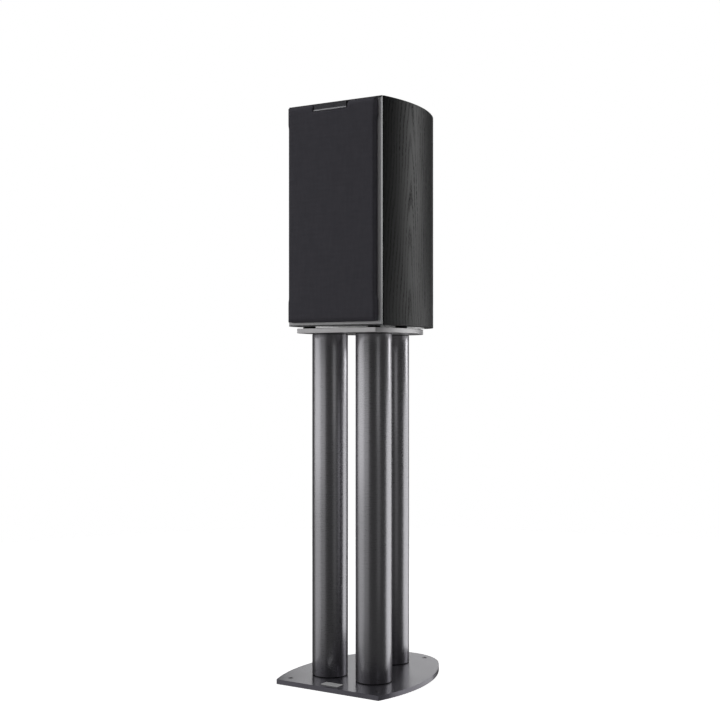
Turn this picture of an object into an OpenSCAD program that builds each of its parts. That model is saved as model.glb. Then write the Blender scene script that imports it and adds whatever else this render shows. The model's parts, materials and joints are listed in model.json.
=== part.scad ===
// Stand-mount two-way loudspeaker with its cloth grille, on its matching three-tube stand.
// The origin is on the floor at the middle of the base plate's box. The front faces -Y, +Z is up,
// and left and right are as a listener in front sees them.

/* [Stand] */
// Half of the base plate's greatest width
base_half_w = 117.5; // [112:0.5:122]
// Depth of the base plate, front to back
base_d = 292; // [284:1:300]
// Thickness of the base plate and of the top plate
plate_t = 8; // [7:0.5:10]
// Size of the top plate's outline as a share of the base plate's
top_plate_share = 0.777; // [0.76:0.001:0.79]
// Outside diameter of each tube
tube_d = 61; // [58:0.5:62]
// Wall of each tube
tube_wall = 2; // [1.5:0.5:3]
// Length of a tube with its two end rings, between the plates
tube_l = 581.5; // [500:0.5:700]
// Height of the black ring that shows at each end of a tube
end_ring_h = 1.5; // [1:0.5:4]
// Thickness of the soft pads that the cabinet stands on
pad_t = 3.5; // [2:0.5:5]

/* [Cabinet] */
// Height of the cabinet
cabinet_h = 371; // [368:1:380]
// Half of the cabinet's greatest width
cabinet_half_w = 102.1; // [101:0.1:104]
// Depth of the wooden shell behind the baffle's lip
cabinet_d = 240; // [236:1:242]
// Thickness of the curved side panels
side_t = 15; // [14:0.5:16]
// Thickness of the top and bottom panels
panel_t = 15; // [14:0.5:18]
// Thickness of the rear panel
rear_t = 18; // [16:0.5:20]
// Width of the mitred bevel round the baffle
baffle_bevel = 2; // [1.5:0.5:2.5]
// Depth of the bevel, which is all of the baffle's lip
baffle_lip = 2; // [1.5:0.5:2.5]
// Width of the shadow gap between the baffle's lip and the side panels
shadow_gap = 2.5; // [1:0.5:3]

/* [Grille] */
// Thickness of the grille, front to back
grille_t = 12.6; // [12:0.1:14]
// Half of the grille's width
grille_half_w = 86.1; // [85:0.1:87]
// Gap between the grille and the cabinet's top and bottom
grille_margin = 5.8; // [5:0.1:6]
// Thickness of the cloth
cloth_t = 0.8; // [0.6:0.1:1]
// Depth of the finger recess along each side
finger_recess = 1.6; // [1:0.1:2]

/* [Drive units] */
// Height of the woofer's centre above the cabinet's underside
woofer_h = 119; // [118:1:120]
// Radius of the woofer's flange
woofer_r = 76; // [75.5:0.5:76]
// Height of the tweeter's centre above the cabinet's underside
tweeter_h = 261; // [259:1:264]
// Radius of the tweeter's faceplate
tweeter_r = 50; // [48:0.5:51]

/* [Rear] */
// Height of the port's centre above the cabinet's underside
port_h = 286; // [275:1:300]
// Radius of the port's throat
port_r = 22; // [20:0.5:22]
// Length of the port tube inside the cabinet
port_l = 110; // [80:1:120]
// Height of the terminals' centre above the cabinet's underside
terminal_h = 96; // [90:1:110]
// Distance between the two terminals
terminal_spacing = 30; // [26:1:32]
// Radius of the socket in each terminal
plug_socket_r = 2; // [2:0.01:2.05]

/* [Hidden] */
$fn = 64;

cut = 1;                 // how far a cutting shape runs past the face it cuts
gap = 0.05;              // radial clearance of a shank or rod in its hole

// Plan outlines: [half of the greatest width, its distance behind the front edge, side radius, depth]
base_plan = [base_half_w, 98, 284, base_d];
top_plan = base_plan * top_plate_share;
cabinet_plan = [cabinet_half_w, 75.7, 300, cabinet_d + 10];

// Levels
base_front_y = -base_d / 2;
top_plate_setback = 28.3;    // behind the base plate's front edge
cabinet_setback = 26.2;      // likewise, of the wooden shell
top_plate_front_y = base_front_y + top_plate_setback;
cabinet_front_y = base_front_y + cabinet_setback;
top_plate_z = plate_t + tube_l;
cabinet_z = top_plate_z + plate_t + pad_t;
baffle_y = cabinet_front_y - baffle_lip;
grille_gap = 0.4;
grille_y = baffle_y - grille_gap;
rear_y = cabinet_front_y + cabinet_d;
woofer_z = cabinet_z + woofer_h;
tweeter_z = cabinet_z + tweeter_h;
port_z = cabinet_z + port_h;
terminal_z = cabinet_z + terminal_h;

// Stand
tube_r = tube_d / 2;
tube_places = [[-43.7, -68], [43.7, -68], [0, 65.4]];
pad_places = [[-64.3, -100.5], [64.3, -100.5], [0, 98]];
pad_r = 10.5;
spigot_h = 8;            // of each end ring, inside its tube
rod_r = 5;
rod_end = 3.5;           // how far each rod's end lies inside the plate's outer face
nut_h = 3;
nut_r = 8;
nut_pocket_r = 8.6;
nut_pocket_d = 4;
spike_r = 4;
spike_tip_z = 0.3;
spike_tip_h = 3.5;
spike_h = 8;
hex_socket_r = 1.8;
hex_socket_d = 3;
spike_front = [85, -126];
spike_rear = [35, 122];
nameplate = [34, 17, 1.4];
nameplate_y = -128;

// Cabinet
core_t = 20;             // thickness of the baffle behind its lip
cabinet_front_half_w = cabinet_half_w - cabinet_plan[2]
                       + sqrt(pow(cabinet_plan[2], 2) - pow(cabinet_plan[1], 2));
back_circle_r = back_r(cabinet_plan);
rear_flat_half_w = sqrt(pow(back_circle_r, 2) - pow(back_circle_r - 10, 2));
brace_h = 200;           // above the cabinet's underside
brace_t = 10;
brace_window = [48, 64];
brace_window_x = 36;     // of each window's centre, to either side
brace_window_y = [-62, 32];
wadding_low = [-50, 12, 81];     // corners, with z above the cabinet's underside
wadding_high = [50, 60, 191];
wadding_edge_r = 10;

// Drive units. Levels count outwards from the baffle's face, so those inside are negative.
rebate_gap = 0.2;
woofer_rebate = 6;
woofer_cutout_r = 68.5;
woofer_screw_r = 72;     // of the ring of screws
woofer_screws_n = 6;
woofer_shank = [1.8, 17];        // radius and length of each screw's shank
flange_back = -5;        // back of the basket's flange, where the gasket lies
spider_seat_r = [38.6, 46];      // inner and outer radius of the basket's ledge for the spider
spider_z = -40;
front_plate_z = [-53, -48];
magnet_back = -69;
pole_back = -75;
magnet_r = 45;
pole_plate_r = 40;
pole_r = 15.6;
pole_vent_r = 6;
coil_r = 17;
cone_r = 50;
cone_z = -1.9;           // the cone's outer edge
dust_cap = [28, 0.6, -42.3, 19.6];       // sphere's radius, wall, centre, and where it is cut
roll = [56, 5.6, 0.8];   // the surround's half-round roll: its circle, its radius, its thickness
land_r = 66.3;           // outside of the surround's flat land
tweeter_rebate = 4;
tweeter_cutout_r = 35;
tweeter_screw_r = 43;
tweeter_screws_n = 4;
tweeter_shank = [1.6, 14];
dome_r = 12.5;
dome = [18, 0.4, -15.4, 13];     // as for the dust cap
dome_edge_z = -2.4;
cup = [32, 28, -28];     // outside radius, inside radius and back of the rear cup

// Grille
grille_h = cabinet_h - 2 * grille_margin;
grille_side_bevel = [4, 4];      // across and back from the front face
grille_end_bevel = [7.5, 3];     // up and back from the front face
recess_top = 33;                 // below the cabinet's top
recess_bottom = 39;              // above the cabinet's underside
recess_slope = 8;
window_half_w = 77.5;
windows = [[21, 199], [210, 349]];   // bottom and top of each, above the cabinet's underside
peg_r = 3;
peg_l = 7;
socket_r = 5;
socket_d = 9;
peg_places = [[-70, 14], [70, 14], [-70, 357], [70, 357]];
badge_half_w = 32;
badge_h = 9.6;
badge_notch_half_w = 34.3;
badge_notch_d = 7.4;
badge_proud = 0.4;

// Rear
flange_t = 3;            // of the port's flange and of the terminal plate
port_flange_r = 37;
port_wall = 2.5;
port_flare_r = 8;
port_screw_r = 33.2;
port_screws_n = 4;
rear_pilot_r = 1.3;
rear_pilot_d = 10;
rear_screw = [1.4, 1.2, 11];     // height of the head, radius and length of the shank
terminal_plate_size = [66, 74];
terminal_cutout = [48, 52];
terminal_screw_x = 27;
terminal_screw_z = 31;
stem_r = 4;
stem_l = 15.5;           // beyond the terminal plate
stem_inside = 12;        // behind it
nut_t = 4;
wire_hole_r = 1.2;
knob_r = 8;
knob_l = 13;
collar_r = 7.5;
collar_t = 2;
post_flange_t = 2;
plug_socket_l = 10;
running_gap = 0.05;      // radial clearance of a knob or collar on its stem
collar_z = flange_t + post_flange_t + 0.2;
knob_z = collar_z + collar_t + 0.1;
flutes_n = 12;

// Crossover
board = [92, 64, 1.6];
board_y = -10;
standoff_h = 8;
standoff_r = 3;
standoff_inset = 6;      // from the board's edges
board_screw_r = 1.6;
coils = [[-22, 10, 17, 7, 16], [24, 14, 12, 5, 12]];     // x, y, outside and inside radius, height
capacitors = [[-2, -13, 7], [28, -14, 8]];               // x, y, radius
capacitor_l = 26;
wire_r = 1.6;

// ---------------------------------------------------------------- outlines and small helpers

// Radius of the round back of a plan outline, so that it meets both side arcs smoothly
function back_r(p) =
    (pow(p[2], 2) - pow(p[2] - p[0], 2) - pow(p[3] - p[1], 2)) / (2 * (p[2] - (p[3] - p[1])));

function arc_points(centre, r, from, to, n) =
    [for (i = [0:n]) centre + r * [cos(from + (to - from) * i / n), sin(from + (to - from) * i / n)]];

// A closed plan outline: straight front edge, bowed sides, round back. inset moves the curves
// inwards, and front is where the front edge lies.
function plan_points(p, inset = 0, front = 0) =
    let(rb = back_r(p),
        side = [p[0] - p[2], p[1]],
        back = [0, p[3] - rb],
        turn = atan2(back.y - side.y, back.x - side.x),
        start = asin((front - p[1]) / (p[2] - inset)),
        right = concat(arc_points(side, p[2] - inset, start, 0, 8),
                       [for (i = [1:10]) arc_points(side, p[2] - inset, 0, turn, 10)[i]],
                       [for (i = [1:12]) arc_points(back, rb - inset, turn, 90, 12)[i]]))
    concat(right, [for (i = [len(right) - 2:-1:0]) [-right[i].x, right[i].y]]);

// Cross-section of a slab with bevelled front edges. It lies from back to -t.
function bevel_profile(low, high, t, bevel, back = 0) =
    t > bevel[1]
        ? [[low, back], [high, back], [high, bevel[1] - t], [high - bevel[0], -t],
           [low + bevel[0], -t], [low, bevel[1] - t]]
        : [[low, back], [high, back], [high - bevel[0], -t], [low + bevel[0], -t]];

function flipped(points) = [for (p = points) [p.y, p.x]];

// A slab that stands on z = low, its back at y = back, with mitred bevels round its front face
module bevelled_slab(half_w, low, high, t, side_bevel, end_bevel, back = 0) {
    intersection() {
        translate([0, 0, low])
            linear_extrude(high - low)
                polygon(bevel_profile(-half_w, half_w, t, side_bevel, back));
        rotate([90, 0, 90])
            linear_extrude(2 * half_w, center = true)
                polygon(flipped(bevel_profile(low, high, t, end_bevel, back)));
    }
}

// Places children on the baffle's face at height z, with their +Z pointing out of the baffle
module on_baffle(x, z) {
    translate([x, baffle_y, z]) rotate([90, 0, 0]) children();
}

// Places children on the rear panel's face at height z, with their +Z pointing out of the rear
module on_rear(x, z) {
    translate([x, rear_y, z]) rotate([-90, 0, 0]) children();
}

module around(n, r, turn = 0) {
    for (i = [0:n - 1]) rotate([0, 0, turn + 360 * i / n]) translate([r, 0, 0]) children();
}

module washer(r, hole_r, low, high) {
    translate([0, 0, low])
        difference() {
            cylinder(r = r, h = high - low);
            translate([0, 0, -cut]) cylinder(r = hole_r, h = high - low + 2 * cut);
        }
}

// Pan-head screw: its head stands on z = 0 and its shank runs down
module screw(head_r, head_h, shank_r, shank_l) {
    difference() {
        union() {
            cylinder(r = head_r, h = head_h);
            translate([0, 0, -shank_l]) cylinder(r = shank_r, h = shank_l + head_h / 2);
        }
        translate([0, 0, head_h * 0.45]) cylinder(r = head_r * 0.45, h = head_h, $fn = 6);
    }
}

module at_tubes() {
    for (p = tube_places) translate(p) children();
}

// ---------------------------------------------------------------- stand

module base_plate() {
    color("#5b5b5e")
        difference() {
            translate([0, base_front_y, 0]) linear_extrude(plate_t) polygon(plan_points(base_plan));
            at_tubes() {
                translate([0, 0, -cut]) cylinder(r = rod_r + gap, h = plate_t + 2 * cut);
                translate([0, 0, -cut]) cylinder(r = nut_pocket_r, h = nut_pocket_d + cut);
            }
            for (x = [-1, 1], p = [spike_front, spike_rear])
                translate([x * p.x, p.y, -cut]) cylinder(r = spike_r + gap, h = plate_t + 2 * cut);
        }
}

module base_nameplate() {
    color("#8d8d90")
        translate([0, nameplate_y, plate_t])
            bevelled_plate(nameplate.x, nameplate.y, nameplate.z, 0.5);
}

// A small flat plate centred on the origin, with its upper edges bevelled
module bevelled_plate(w, d, t, bevel) {
    rotate([-90, 0, 0])
        bevelled_slab(w / 2, -d / 2, d / 2, t, [bevel, bevel], [bevel, bevel]);
}

module levelling_spike(x, y) {
    color("#2a2a2c")
        translate([x, y, spike_tip_z])
            difference() {
                union() {
                    cylinder(r1 = 0.5, r2 = spike_r, h = spike_tip_h);
                    translate([0, 0, spike_tip_h]) cylinder(r = spike_r, h = spike_h - spike_tip_h);
                }
                translate([0, 0, spike_h - hex_socket_d])
                    cylinder(r = hex_socket_r, h = hex_socket_d + cut, $fn = 6);
            }
}

module tube(place) {
    color("#77777a")
        translate([place.x, place.y, plate_t + end_ring_h])
            washer(tube_r, tube_r - tube_wall, 0, tube_l - 2 * end_ring_h);
}

// End ring with a spigot that centres the tube on it
module end_ring() {
    h = end_ring_h + spigot_h;
    difference() {
        union() {
            cylinder(r = tube_r, h = end_ring_h);
            cylinder(r = tube_r - tube_wall - gap, h = h);
        }
        translate([0, 0, -cut]) cylinder(r = rod_r + gap, h = h + 2 * cut);
    }
}

module tube_rings_lower() {
    color("#161617") at_tubes() translate([0, 0, plate_t]) end_ring();
}

module tube_rings_upper() {
    color("#161617") at_tubes() translate([0, 0, top_plate_z]) mirror([0, 0, 1]) end_ring();
}

module tie_rods() {
    color("#a0a0a0")
        at_tubes()
            translate([0, 0, rod_end]) cylinder(r = rod_r - gap, h = top_plate_z + plate_t - 2 * rod_end);
}

module tie_rod_nut(z) {
    translate([0, 0, z])
        difference() {
            cylinder(r = nut_r, h = nut_h, $fn = 6);
            translate([0, 0, -cut]) cylinder(r = rod_r, h = nut_h + 2 * cut);
        }
}

module tie_rod_nuts() {
    color("#8a8a8a")
        at_tubes() {
            tie_rod_nut(nut_pocket_d - nut_h);
            tie_rod_nut(top_plate_z + plate_t - nut_pocket_d);
        }
}

module top_plate() {
    color("#8f8e8f")
        difference() {
            translate([0, top_plate_front_y, top_plate_z])
                linear_extrude(plate_t) polygon(plan_points(top_plan));
            at_tubes() {
                translate([0, 0, top_plate_z - cut]) cylinder(r = rod_r + gap, h = plate_t + 2 * cut);
                translate([0, 0, top_plate_z + plate_t - nut_pocket_d])
                    cylinder(r = nut_pocket_r, h = nut_pocket_d + cut);
            }
        }
}

module isolation_pads() {
    color("#1b1b1c")
        for (p = pad_places)
            translate([p.x, p.y, top_plate_z + plate_t]) cylinder(r = pad_r, h = pad_t);
}

// ---------------------------------------------------------------- cabinet

// The curved panel on one side: side is -1 for the left and 1 for the right
module side_panel(side) {
    color("#3a3a39")
        translate([0, cabinet_front_y, cabinet_z])
            mirror([side < 0 ? 1 : 0, 0, 0])
                linear_extrude(cabinet_h)
                    difference() {
                        intersection() {
                            polygon(plan_points(cabinet_plan));
                            translate([rear_flat_half_w, shadow_gap])
                                square([cabinet_half_w, cabinet_d - shadow_gap]);
                        }
                        polygon(plan_points(cabinet_plan, side_t, -cut));
                    }
}

// A level plate that fills the shell between the baffle and the rear panel
module inner_plate(z, t) {
    translate([0, cabinet_front_y, z])
        linear_extrude(t)
            intersection() {
                polygon(plan_points(cabinet_plan, side_t, -cut));
                translate([-cabinet_half_w, core_t])
                    square([2 * cabinet_half_w, cabinet_d - rear_t - core_t]);
            }
}

module top_panel() {
    color("#323231") inner_plate(cabinet_z + cabinet_h - panel_t, panel_t);
}

module bottom_panel() {
    color("#323231") inner_plate(cabinet_z, panel_t);
}

module rear_panel() {
    color("#2e2e2d")
        difference() {
            translate([-rear_flat_half_w, rear_y - rear_t, cabinet_z])
                cube([2 * rear_flat_half_w, rear_t, cabinet_h]);
            on_rear(0, port_z) {
                translate([0, 0, -rear_t - cut])
                    cylinder(r = port_r + port_wall + gap, h = rear_t + 2 * cut);
                around(port_screws_n, port_screw_r, 45) blind_hole(rear_pilot_r, rear_pilot_d);
            }
            on_rear(0, terminal_z) {
                translate([-terminal_cutout.x / 2, -terminal_cutout.y / 2, -rear_t - cut])
                    cube([terminal_cutout.x, terminal_cutout.y, rear_t + 2 * cut]);
                at_terminal_screws() blind_hole(rear_pilot_r, rear_pilot_d);
            }
        }
}

// Cutting shape for a hole of depth d from the face at z = 0
module blind_hole(r, d) {
    translate([0, 0, -d]) cylinder(r = r, h = d + cut);
}

module front_baffle() {
    color("#2c2c2e")
        difference() {
            union() {
                translate([0, cabinet_front_y, cabinet_z])
                    bevelled_slab(cabinet_front_half_w, 0, cabinet_h, baffle_lip,
                                  [baffle_bevel, baffle_lip], [baffle_bevel, baffle_lip]);
                translate([0, cabinet_front_y, cabinet_z])
                    linear_extrude(cabinet_h)
                        intersection() {
                            polygon(plan_points(cabinet_plan, side_t, -cut));
                            translate([-cabinet_half_w, 0]) square([2 * cabinet_half_w, core_t]);
                        }
            }
            on_baffle(0, woofer_z) {
                blind_hole(woofer_cutout_r, core_t + baffle_lip + cut);
                blind_hole(woofer_r + rebate_gap, woofer_rebate);
                around(woofer_screws_n, woofer_screw_r, 30)
                    blind_hole(woofer_shank[0] + gap, woofer_shank[1] + cut);
            }
            on_baffle(0, tweeter_z) {
                blind_hole(tweeter_cutout_r, core_t + baffle_lip + cut);
                blind_hole(tweeter_r + rebate_gap, tweeter_rebate);
                around(tweeter_screws_n, tweeter_screw_r, 45)
                    blind_hole(tweeter_shank[0] + gap, tweeter_shank[1] + cut);
            }
            for (p = peg_places)
                on_baffle(p.x, cabinet_z + p.y) blind_hole(socket_r, socket_d);
        }
}

module window_brace() {
    color("#b08d62")
        difference() {
            inner_plate(cabinet_z + brace_h, brace_t);
            for (side = [-1, 1], y = brace_window_y)
                translate([side * brace_window_x - brace_window.x / 2, y - brace_window.y / 2,
                           cabinet_z + brace_h - cut])
                    cube([brace_window.x, brace_window.y, brace_t + 2 * cut]);
        }
}

// Centre of the wadding's rounded edges along one axis: end is 0 for the low side and 1 for the high
function wadding_edge(axis, end) =
    end == 0 ? wadding_low[axis] + wadding_edge_r : wadding_high[axis] - wadding_edge_r;

// Wadding pad that stands behind the woofer, with rounded edges
module acoustic_wadding() {
    color("#d9d4c4")
        translate([0, 0, cabinet_z])
            hull()
                for (x = [0, 1], y = [0, 1], z = [0, 1])
                    translate([wadding_edge(0, x), wadding_edge(1, y), wadding_edge(2, z)])
                        sphere(r = wadding_edge_r, $fn = 16);
}

// ---------------------------------------------------------------- woofer

// Clearance holes for the woofer's screws, through its flange and gasket
module woofer_screw_holes() {
    around(woofer_screws_n, woofer_screw_r, 30)
        translate([0, 0, -woofer_rebate - cut])
            cylinder(r = woofer_shank[0] + 0.3, h = woofer_rebate + 2 * cut);
}

module woofer_basket() {
    arms_n = 6;
    arm_w = 9;
    color("#2f2f31")
        on_baffle(0, woofer_z)
            difference() {
                union() {
                    washer(woofer_r, land_r + 0.2, flange_back, 0);
                    washer(land_r + 0.7, 60, flange_back, -1);
                    washer(spider_seat_r[1], 20, front_plate_z[1], -44);
                    washer(spider_seat_r[1], spider_seat_r[0], -44.5, spider_z - 1);
                    around(arms_n, 0)
                        rotate([90, 0, 0])
                            linear_extrude(arm_w, center = true)
                                polygon([[60, -4.5], [68, -4.5], [68, -12], [46, -45], [41, -43],
                                         [60, -12]]);
                }
                woofer_screw_holes();
            }
}

module woofer_gasket() {
    color("#151515")
        on_baffle(0, woofer_z)
            difference() {
                washer(woofer_r, woofer_cutout_r + 1, -woofer_rebate, flange_back);
                woofer_screw_holes();
            }
}

module woofer_screws() {
    color("#3c3c3e")
        on_baffle(0, woofer_z)
            around(woofer_screws_n, woofer_screw_r, 30) screw(3, 2, woofer_shank[0], woofer_shank[1]);
}

module woofer_front_plate() {
    color("#9b9b9b")
        on_baffle(0, woofer_z) washer(pole_plate_r, coil_r + 1.4, front_plate_z[0], front_plate_z[1]);
}

module woofer_magnet() {
    color("#3a3836") on_baffle(0, woofer_z) washer(magnet_r, 24, magnet_back, front_plate_z[0]);
}

module woofer_pole_piece() {
    color("#a5a5a5")
        on_baffle(0, woofer_z) {
            washer(pole_plate_r, pole_vent_r, pole_back, magnet_back);
            washer(pole_r, pole_vent_r, pole_back, front_plate_z[1]);
        }
}

module woofer_cone() {
    color("#1f1f22")
        on_baffle(0, woofer_z)
            rotate_extrude()
                polygon([[coil_r, -28], [coil_r, -26], [19.5, -23.2], [cone_r - 2, cone_z],
                         [cone_r, cone_z], [cone_r, cone_z - 0.8], [cone_r - 1.7, cone_z - 0.8],
                         [20.2, -23.8], [coil_r + 1, -26.4], [coil_r + 1, -28]]);
}

// The part of a hollow sphere above a level: c is [radius, wall, centre's level, where it is cut]
module shallow_cap(c) {
    translate([0, 0, c[2]])
        intersection() {
            difference() {
                sphere(r = c[0]);
                sphere(r = c[0] - c[1]);
            }
            translate([-c[0], -c[0], c[3]]) cube(2 * c[0]);
        }
}

module woofer_dust_cap() {
    color("#1a1a1c") on_baffle(0, woofer_z) shallow_cap(dust_cap);
}

module woofer_voice_coil() {
    color("#b87333")
        on_baffle(0, woofer_z) {
            washer(coil_r, coil_r - 0.6, -58, -26);
            washer(coil_r + 0.8, coil_r, -57, -46);
        }
}

// Half-round roll between the cone's edge and the flange, with a flat land outside
module woofer_surround() {
    color("#141415")
        on_baffle(0, woofer_z)
            rotate_extrude()
                polygon(concat([[cone_r, cone_z], [cone_r, -1]],
                               arc_points([roll[0], -1], roll[1], 180, 0, 16),
                               [[land_r, -0.2], [land_r, -1]],
                               arc_points([roll[0], -1], roll[1] - roll[2], 0, 180, 16),
                               [[roll[0] - roll[1] + roll[2], cone_z]]));
}

// One face of the corrugated spider, from the coil to the basket's ledge
function spider_points(z) =
    [for (i = [0:24]) [coil_r + i * (spider_seat_r[0] - 0.1 - coil_r) / 24, z + 0.9 * sin(i * 60)]];

function reversed(points) = [for (i = [len(points) - 1:-1:0]) points[i]];

module woofer_spider() {
    color("#c9a227")
        on_baffle(0, woofer_z)
            rotate_extrude()
                polygon(concat(spider_points(spider_z), reversed(spider_points(spider_z - 0.6))));
}

// ---------------------------------------------------------------- tweeter

module tweeter_faceplate() {
    color("#2b2b2d")
        on_baffle(0, tweeter_z)
            difference() {
                rotate_extrude()
                    polygon([[dome_r + 2.7, -tweeter_rebate], [tweeter_r, -tweeter_rebate],
                             [tweeter_r, 0], [30, 0], [dome_r + 3.9, dome_edge_z],
                             [dome_r + 2.7, dome_edge_z]]);
                around(tweeter_screws_n, tweeter_screw_r, 45)
                    translate([0, 0, -tweeter_rebate - cut])
                        cylinder(r = tweeter_shank[0] + 0.3, h = tweeter_rebate + 2 * cut);
            }
}

module tweeter_screws() {
    color("#3c3c3e")
        on_baffle(0, tweeter_z)
            around(tweeter_screws_n, tweeter_screw_r, 45) screw(3, 1.8, tweeter_shank[0], tweeter_shank[1]);
}

module tweeter_cup() {
    color("#4a4a4c")
        on_baffle(0, tweeter_z)
            difference() {
                translate([0, 0, cup[2]]) cylinder(r = cup[0], h = -tweeter_rebate - cup[2]);
                translate([0, 0, cup[2] + 4]) cylinder(r = cup[1], h = 16);
                translate([0, 0, -9]) cylinder(r = dome_r + 0.9, h = 9);
            }
}

module tweeter_magnet() {
    color("#8c8c8c") on_baffle(0, tweeter_z) translate([0, 0, cup[2] + 4]) cylinder(r = dome_r - 1, h = 18);
}

module tweeter_dome() {
    color("#232326") on_baffle(0, tweeter_z) shallow_cap(dome);
}

module tweeter_voice_coil() {
    color("#b87333") on_baffle(0, tweeter_z) washer(dome_r - 0.05, dome_r - 0.5, -7.5, dome_edge_z);
}

module tweeter_surround() {
    color("#1b1b1d")
        on_baffle(0, tweeter_z)
            rotate_extrude()
                polygon(concat([[dome_r, dome_edge_z]],
                               arc_points([dome_r + 1.25, dome_edge_z], 1.2, 180, 0, 8),
                               [[dome_r + 2.6, dome_edge_z], [dome_r + 2.6, dome_edge_z - 0.3],
                                [dome_r, dome_edge_z - 0.3]]));
}

// ---------------------------------------------------------------- grille

// Front view of the grille, with a finger recess down each side
function grille_outline(inset) =
    let(w = grille_half_w - inset,
        r = w - finger_recess,
        low = grille_margin + inset,
        high = cabinet_h - grille_margin - inset,
        right = [[w, low], [w, recess_bottom], [r, recess_bottom + recess_slope],
                 [r, cabinet_h - recess_top - recess_slope], [w, cabinet_h - recess_top], [w, high]])
    concat(right, [for (i = [len(right) - 1:-1:0]) [-right[i].x, right[i].y]]);

// The grille's outer form, moved in by inset on every side but the back, which lies at y = back
module grille_form(inset, back) {
    t = grille_t - inset;
    intersection() {
        bevelled_slab(grille_half_w - inset, grille_margin + inset, cabinet_h - grille_margin - inset, t,
                      grille_side_bevel, grille_end_bevel, back);
        translate([0, back, 0])
            rotate([90, 0, 0]) linear_extrude(grille_t + 2 * cut) polygon(grille_outline(inset));
    }
}

module badge_notch() {
    translate([-badge_notch_half_w, -grille_t - cut, cabinet_h - grille_margin - badge_h - 0.6])
        cube([2 * badge_notch_half_w, badge_notch_d + cut, badge_h + cut + 2]);
}

module grille_frame() {
    color("#1d1d1f")
        translate([0, grille_y, cabinet_z])
            difference() {
                grille_form(cloth_t, 0);
                for (w = windows)
                    translate([-window_half_w, -grille_t - cut, w[0]])
                        cube([2 * window_half_w, grille_t + 2 * cut, w[1] - w[0]]);
                badge_notch();
            }
}

module grille_cloth() {
    color("#37373a")
        translate([0, grille_y, cabinet_z])
            difference() {
                grille_form(0, 0);
                grille_form(cloth_t, cut);
                badge_notch();
            }
}

module grille_pegs() {
    color("#19191a")
        for (p = peg_places)
            translate([p.x, grille_y, cabinet_z + p.y]) rotate([-90, 0, 0]) cylinder(r = peg_r, h = peg_l);
}

module grille_badge() {
    color("#26262a")
        translate([0, grille_y - grille_t + badge_notch_d, cabinet_z + cabinet_h - grille_margin - badge_h])
            bevelled_slab(badge_half_w, 0, badge_h, badge_notch_d + badge_proud, [0.5, 0.5], [0.5, 0.5]);
}

module grille_sockets() {
    color("#101011")
        for (p = peg_places)
            on_baffle(p.x, cabinet_z + p.y)
                difference() {
                    translate([0, 0, -socket_d]) cylinder(r = socket_r - gap, h = socket_d);
                    blind_hole(peg_r + 0.1, peg_l + 0.5);
                }
}

// ---------------------------------------------------------------- port and terminals

module port_tube() {
    color("#171718")
        on_rear(0, port_z)
            difference() {
                rotate_extrude()
                    polygon(concat([[port_r + port_wall, -port_l], [port_r + port_wall, 0],
                                    [port_flange_r, 0], [port_flange_r, flange_t]],
                                   arc_points([port_r + port_flare_r, flange_t - port_flare_r],
                                              port_flare_r, 90, 180, 8),
                                   [[port_r, -port_l]]));
                around(port_screws_n, port_screw_r, 45)
                    translate([0, 0, -cut]) cylinder(r = rear_screw[1] + 0.3, h = flange_t + 2 * cut);
            }
}

module port_screws() {
    color("#3c3c3e")
        on_rear(0, port_z)
            around(port_screws_n, port_screw_r, 45)
                translate([0, 0, flange_t]) screw(2.4, rear_screw[0], rear_screw[1], rear_screw[2]);
}

module at_terminal_screws() {
    for (x = [-1, 1], z = [-1, 1])
        translate([x * terminal_screw_x, z * terminal_screw_z, 0]) children();
}

// Distance of each terminal from the centre line
function terminal_x(side) = side * terminal_spacing / 2;

module terminal_plate() {
    color("#1b1b1c")
        on_rear(0, terminal_z)
            difference() {
                bevelled_plate(terminal_plate_size.x, terminal_plate_size.y, flange_t, 1);
                at_terminal_screws()
                    translate([0, 0, -cut]) cylinder(r = rear_screw[1] + 0.4, h = flange_t + 2 * cut);
                for (side = [-1, 1])
                    translate([terminal_x(side), 0, -cut])
                        cylinder(r = stem_r + gap, h = flange_t + 2 * cut);
            }
}

module terminal_screws() {
    color("#3c3c3e")
        on_rear(0, terminal_z)
            at_terminal_screws()
                translate([0, 0, flange_t]) screw(2.6, rear_screw[0], rear_screw[1], rear_screw[2]);
}

// Brass stems with a flange, an inner nut, a cross hole for bare wire and a socket for a plug
module terminal_posts() {
    color("#c9a24a")
        for (side = [-1, 1])
            on_rear(terminal_x(side), terminal_z)
                difference() {
                    union() {
                        translate([0, 0, -stem_inside])
                            cylinder(r = stem_r, h = stem_inside + flange_t + stem_l);
                        washer(7, 2, flange_t, flange_t + post_flange_t);
                        translate([0, 0, -nut_t]) cylinder(r = 7, h = nut_t, $fn = 6);
                    }
                    translate([0, 0, flange_t + stem_l]) blind_hole(plug_socket_r, plug_socket_l);
                    translate([0, -stem_r - cut, flange_t + post_flange_t + 2])
                        rotate([-90, 0, 0]) cylinder(r = wire_hole_r, h = 2 * (stem_r + cut));
                }
}

module terminal_collar(side) {
    color("#b8b8ba")
        on_rear(terminal_x(side), terminal_z)
            washer(collar_r, stem_r + running_gap, collar_z, collar_z + collar_t);
}

module terminal_knob(side) {
    color(side < 0 ? "#141414" : "#a61e1e")
        on_rear(terminal_x(side), terminal_z)
            difference() {
                washer(knob_r, stem_r + running_gap, knob_z, knob_z + knob_l);
                around(flutes_n, knob_r + 0.6) translate([0, 0, knob_z + 2]) cylinder(r = 1.2, h = knob_l);
            }
}

// ---------------------------------------------------------------- crossover

module at_board() {
    translate([0, board_y, cabinet_z + panel_t + standoff_h]) children();
}

module at_board_corners() {
    for (x = [-1, 1], y = [-1, 1])
        translate([x * (board.x / 2 - standoff_inset), y * (board.y / 2 - standoff_inset), 0]) children();
}

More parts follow.
